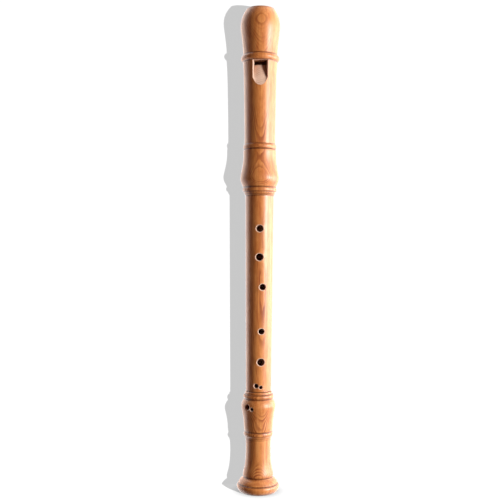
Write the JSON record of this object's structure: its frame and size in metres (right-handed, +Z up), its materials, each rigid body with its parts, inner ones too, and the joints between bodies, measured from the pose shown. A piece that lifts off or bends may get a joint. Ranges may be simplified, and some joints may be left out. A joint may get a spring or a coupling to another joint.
{
  "type": "soprano recorder",
  "caption": "Wooden duct flute in three turned joints, with a curved beak, a block under the windway, corked tenons and paired holes for the lowest fingers.",
  "frame": {"origin": "centre of the foot joint's end face, on the axis of the bore", "axes": "+Z up the bore from the foot to the beak; -Y is the front, where the window and the finger holes are; +X is to the right when looking at the front with the beak up"},
  "size_m": [0.0286, 0.0286, 0.325],
  "materials": {
    "oiled_fruitwood": "oiled satin",
    "cedar": "bare, matte",
    "cork": "waxed cork, matte"
  },
  "bodies": {
    "middle": {"middle_joint": "oiled_fruitwood", "upper_tenon_cork": "cork", "lower_tenon_cork": "cork"},
    "head": {"head_joint": "oiled_fruitwood"},
    "block": {"block": "cedar"},
    "foot": {"foot_joint": "oiled_fruitwood"}
  },
  "joints": [
    {"name": "head_slide", "type": "slide", "parent": "middle", "child": "head", "axis": [0, 0, 1], "range_m": [0, 0.03]},
    {"name": "block_slide", "type": "slide", "parent": "head", "child": "block", "axis": [0, 0, 1], "range_m": [0, 0.04]},
    {"name": "foot_turn", "type": "hinge", "parent": "middle", "child": "foot", "pos_m": [0, 0, 0.063], "axis": [0, 0, 1], "continuous": true}
  ]
}
